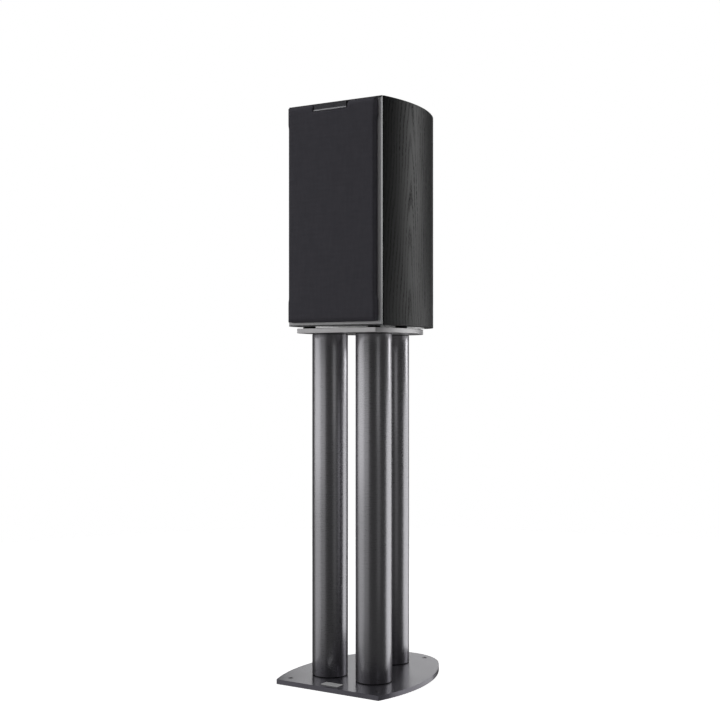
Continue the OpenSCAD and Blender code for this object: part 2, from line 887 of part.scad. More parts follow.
module crossover_board() {
    color("#2f5d34")
        at_board()
            difference() {
                translate([-board.x / 2, -board.y / 2, 0]) cube(board);
                at_board_corners()
                    translate([0, 0, -cut]) cylinder(r = board_screw_r + 0.1, h = board.z + 2 * cut);
            }
}

module crossover_inductors() {
    color("#b4713a")
        at_board()
            for (c = coils)
                translate([c[0], c[1], 0]) washer(c[2], c[3], board.z, board.z + c[4]);
}

module crossover_capacitors() {
    color("#c7c2ad")
        at_board()
            for (c = capacitors)
                translate([c.x, c.y, board.z + c.z])
                    rotate([0, 90, 0]) cylinder(r = c.z, h = capacitor_l, center = true);
}

module crossover_standoffs() {
    color("#c0c0c0")
        at_board()
            at_board_corners() {
                translate([0, 0, -standoff_h]) cylinder(r = standoff_r, h = standoff_h);
                translate([0, 0, -cut]) cylinder(r = board_screw_r, h = board.z + 2 * cut);
                translate([0, 0, board.z]) cylinder(r = standoff_r, h = 1.6);
            }
}

// A point on the cubic Bezier curve whose four control points are p
function curve(p, t) =
    pow(1 - t, 3) * p[0] + 3 * pow(1 - t, 2) * t * p[1] + 3 * (1 - t) * pow(t, 2) * p[2] + pow(t, 3) * p[3];

function unit(v) = v / norm(v);

wire_sides = 8;
wire_rings = 16;

// The points round a wire at t, which runs from 0 at its start to 1 at its end
function wire_ring(p, r, t) =
    let(along = unit(curve(p, t + 0.01) - curve(p, t - 0.01)),
        u = unit(cross(along, [0.31, 0.17, 0.2])),
        v = cross(along, u))
    [for (i = [0:wire_sides - 1])
        curve(p, t) + r * (cos(360 * i / wire_sides) * u + sin(360 * i / wire_sides) * v)];

// A wire of radius r along such a curve
module wire(p, r) {
    n = wire_sides;
    points = [for (k = [0:wire_rings]) each wire_ring(p, r, k / wire_rings)];
    faces = concat([[for (i = [0:n - 1]) i]],
                   [[for (i = [n - 1:-1:0]) wire_rings * n + i]],
                   [for (k = [0:wire_rings - 1], i = [0:n - 1])
                       [k * n + i, (k + 1) * n + i, (k + 1) * n + (i + 1) % n, k * n + (i + 1) % n]]);
    polyhedron(points, faces);
}

// Control points of each wire: terminals to board, board to woofer, board to tweeter
board_top = cabinet_z + panel_t + standoff_h + board.z;
wires = [for (side = [-1, 1])
             [[terminal_x(side), rear_y - 12, terminal_z], [terminal_x(side), 80, terminal_z - 1],
              [side * 42.5, 4, board_top + 24], [side * 42.5, 4, board_top]],
         [[-42.5, -24, board_top], [-42.5, -24, board_top + 24],
          [-30, -76, woofer_z - 60], [-20, -76, woofer_z - 42]],
         [[43.5, -20, board_top], [75, -10, board_top + 94],
          [50, -40, tweeter_z - 12], [20, baffle_y + 28.3, tweeter_z - 12]]];

module internal_wires() {
    color("#7a1f1f") for (w = wires) wire(w, wire_r);
}

// ---------------------------------------------------------------- nodes

base_plate();
base_nameplate();
levelling_spike(-spike_front.x, spike_front.y);  // levelling_spike_front_left
levelling_spike(spike_front.x, spike_front.y);  // levelling_spike_front_right
levelling_spike(-spike_rear.x, spike_rear.y);  // levelling_spike_rear_left
levelling_spike(spike_rear.x, spike_rear.y);  // levelling_spike_rear_right
tube(tube_places[0]);  // tube_front_left
tube(tube_places[1]);  // tube_front_right
tube(tube_places[2]);  // tube_rear
tube_rings_lower();
tube_rings_upper();
tie_rods();
tie_rod_nuts();
top_plate();
isolation_pads();
side_panel(-1);  // side_panel_left
side_panel(1);  // side_panel_right
top_panel();
bottom_panel();
rear_panel();
front_baffle();
window_brace();
acoustic_wadding();
woofer_basket();
woofer_gasket();
woofer_screws();
woofer_front_plate();
woofer_magnet();
woofer_pole_piece();
woofer_cone();
woofer_dust_cap();
woofer_voice_coil();
woofer_surround();
woofer_spider();
tweeter_faceplate();
tweeter_screws();
tweeter_cup();
tweeter_magnet();
tweeter_dome();
tweeter_voice_coil();
tweeter_surround();
grille_frame();
grille_cloth();
grille_pegs();
grille_badge();
grille_sockets();
port_tube();
port_screws();
terminal_plate();
terminal_screws();
terminal_posts();
terminal_collar(-1);  // terminal_collar_left
terminal_collar(1);  // terminal_collar_right
terminal_knob(-1);  // terminal_knob_left
terminal_knob(1);  // terminal_knob_right
crossover_board();
crossover_inductors();
crossover_capacitors();
crossover_standoffs();
internal_wires();
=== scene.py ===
"""Looks of a stand-mount loudspeaker on its three-tube stand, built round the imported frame.

Metres, +Z up, front towards -Y, left and right as a listener in front sees them.
"""
import json
import math
import random

import bmesh
import bpy
import numpy as np
from mathutils import Matrix, Vector


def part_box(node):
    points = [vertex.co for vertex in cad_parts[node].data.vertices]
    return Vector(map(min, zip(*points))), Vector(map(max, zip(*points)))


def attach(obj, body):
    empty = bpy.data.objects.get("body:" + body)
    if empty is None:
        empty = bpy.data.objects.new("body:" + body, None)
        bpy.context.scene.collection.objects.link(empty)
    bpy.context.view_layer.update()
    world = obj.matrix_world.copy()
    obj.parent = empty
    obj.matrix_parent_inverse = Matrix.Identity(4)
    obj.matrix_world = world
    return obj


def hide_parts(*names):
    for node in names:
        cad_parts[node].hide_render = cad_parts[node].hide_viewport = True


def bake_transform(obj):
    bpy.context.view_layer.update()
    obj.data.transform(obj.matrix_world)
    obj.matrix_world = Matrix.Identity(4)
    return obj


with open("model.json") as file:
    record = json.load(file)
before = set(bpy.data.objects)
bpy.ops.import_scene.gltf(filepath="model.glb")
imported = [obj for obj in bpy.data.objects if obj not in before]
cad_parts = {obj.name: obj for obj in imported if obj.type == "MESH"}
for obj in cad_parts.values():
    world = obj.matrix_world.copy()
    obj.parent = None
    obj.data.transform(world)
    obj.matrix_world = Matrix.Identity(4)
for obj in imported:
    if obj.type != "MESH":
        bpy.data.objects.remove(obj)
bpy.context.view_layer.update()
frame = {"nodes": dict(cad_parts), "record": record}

MM = 0.001

# ------------------------------------------------------------------ places, read from the frame

BASE_LOW, BASE_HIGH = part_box("base_plate")
TOP_LOW, TOP_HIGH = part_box("top_plate")
SIDE_LOW, SIDE_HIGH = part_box("side_panel_right")
BAFFLE_LOW, BAFFLE_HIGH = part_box("front_baffle")
CLOTH_LOW, CLOTH_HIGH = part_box("grille_cloth")
BADGE_LOW, BADGE_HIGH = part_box("grille_badge")
# The cloth and the badge are drawn this much taller than their CAD nodes.
TOP_REACH = Vector((0.0, 0.0, 0.0018))
CLOTH_HIGH, BADGE_HIGH = CLOTH_HIGH + TOP_REACH, BADGE_HIGH + TOP_REACH

CABINET_BOTTOM, CABINET_TOP = SIDE_LOW.z, SIDE_HIGH.z
# The baffle's outer edge is a lip. Behind it a shadow gap leads to the cabinet's shell.
BAFFLE_Y, LIP = BAFFLE_LOW.y, 0.002
SHELL_Y = BAFFLE_Y + LIP
SHADOW_GAP = 0.0025
CABINET_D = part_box("rear_panel")[1].y - SHELL_Y
SIDE_T, REAR_T, VENEER_T = 0.015, 0.018, 0.0006

# Plan outlines: half of the greatest width, its distance behind the front edge, side radius, depth
BASE_PLAN = (BASE_HIGH.x, 0.098, 0.284, BASE_HIGH.y - BASE_LOW.y)
TOP_PLAN = tuple(v * TOP_HIGH.x / BASE_HIGH.x for v in BASE_PLAN)
CABINET_PLAN = (SIDE_HIGH.x, 0.0757, 0.300, 0.250)

TUBES = ("tube_front_left", "tube_front_right", "tube_rear")
# Middles of the soft pads between the top plate and the cabinet, and the radius of each.
PAD_PLACES, PAD_R = ((-0.0643, -0.1005), (0.0643, -0.1005), (0.0, 0.098)), 0.0105


def centre_of(node):
    """The middle of a CAD node's box."""
    low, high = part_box(node)
    return (low + high) / 2


# ------------------------------------------------------------------ camera

# A level camera: its turn about the vertical, its place, its lens in mm and the lens's rise.
CAMERA_TURN = math.radians(32.136)
CAMERA_PLACE = (1.1247, -1.8320, 0.5325)
CAMERA_LENS, CAMERA_RISE = 61.87, 0.0098


def make_camera():
    data = bpy.data.cameras.new("camera")
    data.sensor_width = 36.0
    data.lens = CAMERA_LENS
    data.shift_y = CAMERA_RISE
    data.clip_start, data.clip_end = 0.05, 100
    camera = bpy.data.objects.new("camera", data)
    camera.location = CAMERA_PLACE
    camera.rotation_euler = (math.radians(90), 0, CAMERA_TURN)
    bpy.context.scene.collection.objects.link(camera)
    bpy.context.scene.camera = camera


# ------------------------------------------------------------------ mesh helpers

def to_object(name, mesh_builder, smooth_angle=30.0):
    """An object from a bmesh, smooth-shaded but for edges sharper than smooth_angle."""
    mesh_builder.normal_update()
    bmesh.ops.recalc_face_normals(mesh_builder, faces=mesh_builder.faces)
    limit = math.radians(smooth_angle)
    for face in mesh_builder.faces:
        face.smooth = True
    for edge in mesh_builder.edges:
        if len(edge.link_faces) == 2 and edge.calc_face_angle() > limit:
            edge.smooth = False
    mesh = bpy.data.meshes.new(name)
    mesh_builder.to_mesh(mesh)
    mesh_builder.free()
    obj = bpy.data.objects.new(name, mesh)
    bpy.context.scene.collection.objects.link(obj)
    return obj


def bake_modifiers(obj):
    """Applies every modifier of obj to its mesh."""
    graph = bpy.context.evaluated_depsgraph_get()
    mesh = bpy.data.meshes.new_from_object(obj.evaluated_get(graph))
    obj.modifiers.clear()
    obj.data = mesh
    return obj


def bevel(obj, width, segments=3, angle=30.0):
    """Rounds obj's sharp edges and keeps its flat faces flat-shaded."""
    rounding = obj.modifiers.new("rounding", "BEVEL")
    rounding.width = width
    rounding.segments = segments
    rounding.limit_method = "ANGLE"
    rounding.angle_limit = math.radians(angle)
    rounding.harden_normals = True
    rounding.use_clamp_overlap = True
    return obj


def cut(obj, cutters):
    """Takes the cutters' shapes away from obj and removes them."""
    for cutter in cutters:
        hole = obj.modifiers.new("hole", "BOOLEAN")
        hole.operation = "DIFFERENCE"
        hole.solver = "EXACT"
        hole.object = cutter
    bake_modifiers(obj)
    for cutter in cutters:
        bpy.data.objects.remove(cutter)
    return obj


def prism(name, outline, low, high):
    """A closed slab: outline is a list of (x, y), low and high are its levels."""
    b = bmesh.new()
    rings = [[b.verts.new((x, y, z)) for x, y in outline] for z in (low, high)]
    b.faces.new(rings[0][::-1])
    b.faces.new(rings[1])
    n = len(outline)
    for i in range(n):
        j = (i + 1) % n
        b.faces.new((rings[0][i], rings[0][j], rings[1][j], rings[1][i]))
    return to_object(name, b)


def lathe(name, profile, place, axis="Z", segments=96, closed=True):
    """A turned piece. profile is a list of (radius, height); its axis is Z or FRONT (-Y)."""
    b = bmesh.new()
    rings = []
    for r, h in profile:
        if r < 1e-7:
            rings.append([b.verts.new((0, 0, h))])
        else:
            rings.append([b.verts.new((r * math.cos(t), r * math.sin(t), h))
                          for t in (2 * math.pi * i / segments for i in range(segments))])
    pairs = list(zip(rings, rings[1:] + rings[:1])) if closed else list(zip(rings, rings[1:]))
    for lower, upper in pairs:
        for i in range(segments):
            j = (i + 1) % segments
            corners = [lower[i % len(lower)], lower[j % len(lower)],
                       upper[j % len(upper)], upper[i % len(upper)]]
            unique = list(dict.fromkeys(corners))
            if len(unique) >= 3:
                b.faces.new(unique)
    turn = {"Z": Matrix.Identity(4), "FRONT": Matrix.Rotation(math.radians(90), 4, "X")}[axis]
    b.transform(Matrix.Translation(place) @ turn)
    return to_object(name, b, smooth_angle=35.0)


def joined(name, objects):
    """One object from several; their modifiers are applied first."""
    b = bmesh.new()
    for obj in objects:
        bake_modifiers(obj)
        b.from_mesh(obj.data)
    mesh = bpy.data.meshes.new(name)
    b.to_mesh(mesh)
    b.free()
    for obj in objects:
        bpy.data.objects.remove(obj)
    obj = bpy.data.objects.new(name, mesh)
    bpy.context.scene.collection.objects.link(obj)
    return obj


def box_piece(name, low, high, width):
    """A box between two corners, its edges rounded by width."""
    outline = [(low[0], low[1]), (high[0], low[1]), (high[0], high[1]), (low[0], high[1])]
    return bevel(prism(name, outline, low[2], high[2]), width)


def arc(centre, r, start, end, steps):
    """Points along an arc between two angles in radians."""
    return [(centre[0] + r * math.cos(start + (end - start) * i / steps),
             centre[1] + r * math.sin(start + (end - start) * i / steps))
            for i in range(steps + 1)]


def plan_curve(plan, inset=0.0, front=0.0, side_steps=40, back_steps=28):
    """The right half of a plan outline, from the front edge to the middle of the round back."""
    half_w, widest_y, side_r, depth = plan
    rear = depth - widest_y
    back_r = (side_r**2 - (side_r - half_w)**2 - rear**2) / (2 * (side_r - rear))
    side, back = (half_w - side_r, widest_y), (0.0, depth - back_r)
    turn = math.atan2(back[1] - side[1], back[0] - side[0])
    start = math.asin((front - widest_y) / (side_r - inset))
    return (arc(side, side_r - inset, start, turn, side_steps)
            + arc(back, back_r - inset, turn, math.pi / 2, back_steps)[1:])


def plan_outline(plan, y, inset=0.0, front=0.0):
    """A whole plan outline, anticlockwise, with its front edge at y."""
    right = plan_curve(plan, inset, front)
    left = [(-px, py) for px, py in right[-2::-1]]
    return [(px, py + y) for px, py in right + left]


# ------------------------------------------------------------------ material helpers

# Numbers in the finishes: noise scales are per metre, bump distances in metres.

class Paint:
    """A node material under construction."""

    def __init__(self, name):
        self.material = bpy.data.materials.new(name)
        self.material.use_nodes = True
        self.tree = self.material.node_tree
        self.shader = self.tree.nodes["Principled BSDF"]
        self.where = self.tree.nodes.new("ShaderNodeTexCoord").outputs["Object"]

    def node(self, kind, inputs=None, **settings):
        n = self.tree.nodes.new(kind)
        for key, value in settings.items():
            setattr(n, key, value)
        for key, value in (inputs or {}).items():
            self.feed(n.inputs[key], value)
        return n

    def feed(self, socket, value):
        if isinstance(value, bpy.types.NodeSocket):
            self.tree.links.new(value, socket)
        elif isinstance(value, (tuple, list)) and socket.type == "RGBA" and len(value) == 3:
            socket.default_value = (*value, 1.0)
        else:
            socket.default_value = value

    def set(self, **values):
        for key, value in values.items():
            self.feed(self.shader.inputs[key.replace("_", " ")], value)

    def stretched(self, scale, source=None):
        return self.node("ShaderNodeMapping", {"Vector": source or self.where,
                                               "Scale": scale}).outputs["Vector"]

    def noise(self, scale, detail=3.0, source=None):
        return self.node("ShaderNodeTexNoise", {"Vector": source or self.where, "Scale": scale,
                                                "Detail": detail, "Roughness": 0.55}).outputs["Fac"]

    def math(self, operation, a, b=0.0, c=0.0):
        n = self.tree.nodes.new("ShaderNodeMath")
        n.operation = operation
        for socket, value in zip(n.inputs, (a, b, c)):
            self.feed(socket, value)
        return n.outputs[0]

    def span(self, value, from_low, from_high, to_low, to_high):
        return self.node("ShaderNodeMapRange", {"Value": value, "From Min": from_low,
                                                "From Max": from_high, "To Min": to_low,
                                                "To Max": to_high}).outputs["Result"]

    def blend(self, factor, a, b):
        """A colour between a and b."""
        n = self.tree.nodes.new("ShaderNodeMix")
        n.data_type = "RGBA"
        self.feed(n.inputs[0], factor)
        self.feed(n.inputs[6], a)
        self.feed(n.inputs[7], b)
        return n.outputs[2]

    def share(self, a, b, part):
        """The value part * a + (1 - part) * b."""
        return self.math("MULTIPLY_ADD", a, part, self.math("MULTIPLY", b, 1 - part))

    def ramp(self, factor, stops):
        n = self.tree.nodes.new("ShaderNodeValToRGB")
        self.feed(n.inputs["Fac"], factor)
        elements = n.color_ramp.elements
        while len(elements) < len(stops):
            elements.new(0.5)
        for element, (place, colour) in zip(elements, stops):
            element.position = place
            element.color = (*colour, 1.0)
        return n.outputs["Color"]

    def bump(self, height, strength, distance):
        return self.node("ShaderNodeBump", {"Height": height, "Strength": strength,
                                            "Distance": distance}).outputs["Normal"]


def shade(colour, factor):
    return tuple(min(1.0, c * factor) for c in colour)


def grained(name, colour, roughness, metallic=0.0, spread=0.15, patch=25.0, grain=900.0,
            grain_depth=0.00004, stretch=(1, 1, 1), rough_spread=0.08, **shader):
    """A finish with patchy colour, uneven gloss and a fine grain. stretch draws the grain out."""
    p = Paint(name)
    patches = p.noise(patch, 4.0)
    fine = p.noise(grain, 2.0, source=p.stretched(stretch))
    mixed = p.share(fine, patches, 0.45)
    p.set(Base_Color=p.ramp(mixed, [(0.3, shade(colour, 1 - spread)),
                                    (0.7, shade(colour, 1 + spread))]),
          Roughness=p.span(mixed, 0.3, 0.7, roughness - rough_spread, roughness + rough_spread),
          Normal=p.bump(fine, 0.5, grain_depth), Metallic=metallic)
    p.set(**shader)
    return p.material


# ------------------------------------------------------------------ materials, one section each

def ash_veneer():
    """Black-stained open-pore ash. The veneer UV map runs across and along the grain, in metres."""
    p = Paint("ash_veneer")
    ring_period = 0.0080
    uv = p.node("ShaderNodeUVMap", uv_map="veneer").outputs["UV"]
    split = p.node("ShaderNodeSeparateXYZ", {"Vector": uv})
    across, along = split.outputs["X"], split.outputs["Y"]

    def drawn_out(scale, detail, along_scale):
        """Noise drawn out along the grain."""
        return p.noise(scale, detail, source=p.stretched((1.0, along_scale, 1.0), uv))

    # Growth rings arch round a heart line that drifts. Their early wood carries the open pores.
    drift = p.noise(4.0, 2.0, source=p.stretched((0.6, 0.8, 1.0), uv))
    heart = p.math("SUBTRACT", across, p.math("MULTIPLY_ADD", drift, 0.04, 0.052))
    arch = p.math("SQRT", p.math("MULTIPLY_ADD", heart, heart, 0.00003))
    wander = p.math("MULTIPLY", drawn_out(30.0, 3.0, 0.14), 0.018)
    rings = p.math("ADD", p.math("MULTIPLY_ADD", along, 0.085, arch), wander)
    wave = p.math("SINE", p.math("MULTIPLY", rings, 2 * math.pi / ring_period))
    strength = p.span(drawn_out(26.0, 2.0, 0.30), 0.35, 0.60, 0.30, 1.0)
    early = p.math("MULTIPLY", p.span(wave, -0.1, 0.9, 0.10, 1.0), strength)
    vessels = p.span(drawn_out(1500.0, 1.0, 0.10), 0.38, 0.60, 0.0, 1.0)
    pores = p.math("MULTIPLY", vessels, early)
    fibres = drawn_out(700.0, 3.0, 0.04)
    late = p.ramp(fibres, [(0.3, (0.0085, 0.0092, 0.0094)), (0.7, (0.0155, 0.0166, 0.0169))])
    ground = p.blend(p.math("MULTIPLY", early, 0.35), late, (0.004, 0.004, 0.004))
    p.set(Base_Color=p.blend(pores, ground, (0.002, 0.002, 0.002)),
          Roughness=p.math("MULTIPLY_ADD", pores, 0.30, p.span(fibres, 0.3, 0.7, 0.31, 0.38)),
          Specular_IOR_Level=p.math("MULTIPLY_ADD", pores, -0.14, 0.23),
          Normal=p.bump(p.math("MULTIPLY_ADD", pores, -1.5, fibres), 0.15, 0.0001))
    return p.material


def grille_fabric():
    """Charcoal acoustic cloth: a fine open weave with slubs, over darkness."""
    p = Paint("grille_fabric")
    axes = p.node("ShaderNodeSeparateXYZ", {"Vector": p.where})
    thread_pitch = 0.0011
    side = p.math("ADD", axes.outputs["X"], axes.outputs["Y"])
    warp = p.math("SINE", p.math("MULTIPLY", side, 2 * math.pi / thread_pitch))
    weft = p.math("SINE", p.math("MULTIPLY", axes.outputs["Z"], 2 * math.pi / thread_pitch))
    weave = p.math("MULTIPLY_ADD", p.math("MULTIPLY", warp, weft), 0.5, 0.5)
    slubs = p.noise(240.0, 2.0, source=p.stretched((0.15, 0.15, 1.0)))
    threads = p.noise(240.0, 2.0, source=p.stretched((1.0, 1.0, 0.15)))
    tone = p.math("MULTIPLY_ADD", p.math("ADD", slubs, threads), 0.25,
                  p.math("MULTIPLY", weave, 0.5))
    p.set(Base_Color=p.ramp(tone, [(0.25, (0.080, 0.078, 0.092)), (0.75, (0.128, 0.124, 0.145))]),
          Roughness=p.span(tone, 0.2, 0.8, 0.82, 0.95),
          Normal=p.bump(tone, 0.6, 0.00025),
          Sheen_Weight=0.03, Sheen_Roughness=0.5, Specular_IOR_Level=0.15)
    return p.material


def tube_metal():
    """Satin metallic lacquer on steel tube, with the faint cross marks of its polishing."""
    p = Paint("tube_metal")
    polish = p.noise(700.0, 3.0, source=p.stretched((0.12, 0.12, 1.0)))
    flakes = p.noise(2600.0, 1.0)
    cloud = p.noise(9.0, 3.0, source=p.stretched((1.0, 1.0, 0.4)))
    worn = p.math("MULTIPLY_ADD", polish, 0.35, p.math("MULTIPLY", cloud, 0.3))
    tone = p.math("MULTIPLY_ADD", flakes, 0.35, worn)
    p.set(Base_Color=p.ramp(tone, [(0.3, (0.40, 0.395, 0.417)), (0.7, (0.52, 0.515, 0.541))]),
          Roughness=p.span(tone, 0.3, 0.7, 0.25, 0.34),
          Normal=p.bump(polish, 0.12, 0.00005), Metallic=0.92)
    return p.material


def graphite_plate():
    """Dark lacquered plate: a smooth clear coat over a finely sparkling base."""
    p = Paint("graphite_plate")
    flakes = p.noise(2200.0, 1.0)
    cloud = p.noise(14.0, 4.0)
    tone = p.share(flakes, cloud, 0.5)
    p.set(Base_Color=p.ramp(tone, [(0.3, (0.125, 0.120, 0.142)), (0.7, (0.185, 0.178, 0.209))]),
          Roughness=p.span(tone, 0.3, 0.7, 0.26, 0.38),
          Normal=p.bump(p.noise(380.0, 2.0), 0.05, 0.00004), Metallic=0.7,
          Coat_Weight=0.4, Coat_Roughness=0.12)
    return p.material


def bright_plate():
    """Light satin metal of the top plate, with long polishing marks."""
    p = Paint("bright_plate")
    marks = p.noise(900.0, 3.0, source=p.stretched((0.08, 0.08, 1.0)))
    cloud = p.noise(22.0, 3.0)
    tone = p.share(marks, cloud, 0.5)
    p.set(Base_Color=p.ramp(tone, [(0.3, (0.62, 0.61, 0.62)), (0.7, (0.80, 0.79, 0.80))]),
          Roughness=p.span(tone, 0.3, 0.7, 0.32, 0.46),
          Normal=p.bump(marks, 0.15, 0.00005), Metallic=0.5)
    return p.material


def baffle_lacquer():
    """Satin metallic lacquer. The mitred bevel, which faces neither front nor side, is polished."""
    p = Paint("baffle_lacquer")
    normal = p.node("ShaderNodeNewGeometry").outputs["Normal"]
    facing = p.node("ShaderNodeSeparateXYZ", {"Vector": normal})
    to_front = p.math("ABSOLUTE", facing.outputs["Y"])
    slant = p.math("MULTIPLY", p.span(to_front, 0.35, 0.60, 0.0, 1.0),
                   p.span(to_front, 0.93, 0.98, 1.0, 0.0))
    flakes = p.noise(2400.0, 1.0)
    cloud = p.noise(18.0, 3.0)
    tone = p.share(flakes, cloud, 0.5)
    body = p.ramp(tone, [(0.3, (0.66, 0.66, 0.67)), (0.7, (0.78, 0.78, 0.79))])
    p.set(Base_Color=p.blend(slant, body, (0.74, 0.74, 0.76)),
          Roughness=p.math("MULTIPLY_ADD", slant, -0.20, p.span(tone, 0.3, 0.7, 0.36, 0.46)),
          Normal=p.bump(p.noise(420.0, 2.0), 0.06, 0.00004),
          Metallic=p.math("MULTIPLY_ADD", slant, 0.70, 0.20))
    return p.material


def make_materials():
    """Every finish of the record's material slots, by slot name."""
    made = {make.__name__: make() for make in (ash_veneer, grille_fabric, tube_metal,
                                               graphite_plate, bright_plate, baffle_lacquer)}
    # name, colour, roughness, and what differs from a plain finish
    finishes = [
        ("nameplate_metal", (0.90, 0.90, 0.90), 0.42,
         dict(metallic=0.1, stretch=(0.05, 1, 1), spread=0.08)),
        ("black_trim", (0.006, 0.006, 0.006), 0.50, dict(Specular_IOR_Level=0.3)),
        ("zinc_steel", (0.60, 0.60, 0.62), 0.34, dict(metallic=1.0, patch=120.0)),
        ("black_steel", (0.20, 0.195, 0.21), 0.36, dict(metallic=0.8)),
        ("underside_lacquer", (0.012, 0.012, 0.012), 0.13, dict(rough_spread=0.03)),
        ("pad_rubber", (0.018, 0.018, 0.018), 0.78, dict(grain=1400.0, grain_depth=0.0001)),
        ("raw_wood", (0.55, 0.40, 0.25), 0.72,
         dict(stretch=(1, 0.06, 1), grain=700.0, spread=0.22)),
        ("wadding_felt", (0.74, 0.72, 0.66), 0.95,
         dict(grain=500.0, grain_depth=0.0008, spread=0.1)),
        ("basket_paint", (0.030, 0.030, 0.031), 0.55, dict(grain=1500.0, grain_depth=0.0001)),
        ("ferrite", (0.055, 0.052, 0.050), 0.62, dict(metallic=0.3, grain=600.0, spread=0.25)),
        ("cone_fibre", (0.030, 0.030, 0.034), 0.62,
         dict(grain=450.0, grain_depth=0.0002, spread=0.3)),
        ("copper", (0.60, 0.25, 0.10), 0.30, dict(metallic=1.0, stretch=(1, 1, 0.2), spread=0.25)),
        ("surround_rubber", (0.016, 0.016, 0.017), 0.48, dict(grain=1300.0, grain_depth=0.00006)),
        ("spider_cloth", (0.48, 0.32, 0.07), 0.85,
         dict(grain=1200.0, grain_depth=0.0002, spread=0.2)),
        ("faceplate_plastic", (0.030, 0.030, 0.032), 0.50, dict(grain=1600.0, grain_depth=0.00008)),
        ("dome_silk", (0.030, 0.030, 0.034), 0.66,
         dict(grain=2200.0, grain_depth=0.0001, spread=0.25)),
        ("frame_plastic", (0.016, 0.016, 0.017), 0.52, dict(grain=1500.0, grain_depth=0.00008)),
        ("badge_gloss", (0.085, 0.085, 0.095), 0.30,
         dict(metallic=0.5, Coat_Weight=0.4, Coat_Roughness=0.2)),
        # badge_rim is a lighter copy of badge_gloss for the bar along the badge's lower edge: a
        # painted highlight.
        ("badge_rim", (0.60, 0.60, 0.63), 0.36, dict(metallic=0.6)),
        ("terminal_brass", (0.83, 0.60, 0.24), 0.22, dict(metallic=1.0, spread=0.08)),
        ("terminal_nickel", (0.68, 0.67, 0.65), 0.20, dict(metallic=1.0, spread=0.08)),
        ("knob_black", (0.012, 0.012, 0.013), 0.28, dict(Coat_Weight=0.8, Coat_Roughness=0.06)),
        ("knob_red", (0.36, 0.012, 0.012), 0.28, dict(Coat_Weight=0.8, Coat_Roughness=0.06)),
        ("board_laminate", (0.035, 0.13, 0.05), 0.42, dict(grain=1100.0)),
        ("capacitor_film", (0.62, 0.55, 0.36), 0.36, dict(Coat_Weight=0.3, Coat_Roughness=0.2)),
        ("wire_sleeve", (0.30, 0.02, 0.02), 0.40, dict(grain=1000.0)),
    ]
    for name, colour, roughness, more in finishes:
        made[name] = grained(name, colour, roughness, **more)
    return made


# ------------------------------------------------------------------ placing pieces

def place(obj, body, slot_name, *nodes):
    """Gives a piece its finish, its body and the CAD nodes that it stands for."""
    obj.data.materials.clear()
    obj.data.materials.append(MATERIALS[slot_name])
    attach(obj, body)
    if nodes:
        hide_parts(*nodes)
    return obj


def finish_cad_nodes():
    """A procedural finish on every CAD node, from the record's slots."""
    for part in frame["record"]["subparts"]:
        mesh = frame["nodes"][part["node"]].data
        mesh.materials.clear()
        mesh.materials.append(MATERIALS[part["material_slot"]])
        if part["material_slot"] == "ash_veneer":
            veneer_map(mesh, lambda p, n: (p.x, p.z) if abs(n.z) < 0.7 else (p.x, p.y))
    # The underside is seen between the pads, darker and glossier than the veneer.
    frame["nodes"]["bottom_panel"].data.materials[0] = MATERIALS["underside_lacquer"]


def veneer_map(mesh, across_along):
    """Adds the veneer UV map. across_along(point, face normal) gives metres across and along
    the grain."""
    layer = mesh.uv_layers.new(name="veneer")
    for face in mesh.polygons:
        for i in face.loop_indices:
            point = mesh.vertices[mesh.loops[i].vertex_index].co
            layer.data[i].uv = across_along(point, face.normal)


# ------------------------------------------------------------------ stand

def hole_cutter(centre, low, high, r, segments=48):
    """Cutting shape for an upright round hole between two levels."""
    outline = arc((centre.x, centre.y), r, 0.0, 2 * math.pi, segments)[:-1]
    return prism("cutter", outline, low, high)


def make_plates():
    """The two plates, with the spikes' holes and shallow pockets where the tubes' rods end."""
    spike_hole_r, pocket_r, pocket_d = 0.0042, 0.0086, 0.004
    below, above = -0.01, 0.02
    rods = [centre_of(n) for n in TUBES]
    spikes = [centre_of(n) for n in frame["nodes"] if n.startswith("levelling_spike")]
    base = prism("base_plate_shell", plan_outline(BASE_PLAN, BASE_LOW.y), BASE_LOW.z, BASE_HIGH.z)
    cut(base, [hole_cutter(c, below, above, spike_hole_r) for c in spikes]
        + [hole_cutter(c, below, pocket_d, pocket_r) for c in rods])
    bevel(base, 0.0007, 3)
    place(base, "stand", "graphite_plate", "base_plate")
    top = prism("top_plate_shell", plan_outline(TOP_PLAN, TOP_LOW.y), TOP_LOW.z, TOP_HIGH.z)
    cut(top, [hole_cutter(c, TOP_HIGH.z - pocket_d, TOP_HIGH.z + 0.01, pocket_r) for c in rods])
    bevel(top, 0.0006, 3)
    place(top, "stand", "bright_plate", "top_plate")


def make_tubes():
    """The three hollow tubes, and the black ring at each end of each."""
    for node in TUBES:
        low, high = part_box(node)
        c, r, wall, soft = (low + high) / 2, (high.x - low.x) / 2, 0.002, 0.0004
        length = high.z - low.z
        cut_in = soft * 0.3
        profile = [(r - wall, 0), (r - soft, 0), (r - cut_in, cut_in), (r, soft),
                   (r, length - soft), (r - cut_in, length - cut_in), (r - soft, length),
                   (r - wall, length)]
        tube = lathe(node + "_skin", profile, (c.x, c.y, low.z), segments=160)
        place(tube, "stand", "tube_metal", node)
    for node in ("tube_rings_lower", "tube_rings_upper"):
        rings = []
        for tube in TUBES:
            low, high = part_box(tube)
            c, r = centre_of(tube), (high.x - low.x) / 2 - 0.0004
            foot, top = (BASE_HIGH.z, low.z) if node == "tube_rings_lower" else (high.z, TOP_LOW.z)
            profile = [(0.0, 0), (r, 0), (r, top - foot), (0.0, top - foot)]
            ring = lathe("ring", profile, (c.x, c.y, foot), segments=128, closed=False)
            rings.append(bevel(ring, 0.0002, 2))
        place(joined(node + "_trim", rings), "stand", "black_trim", node)


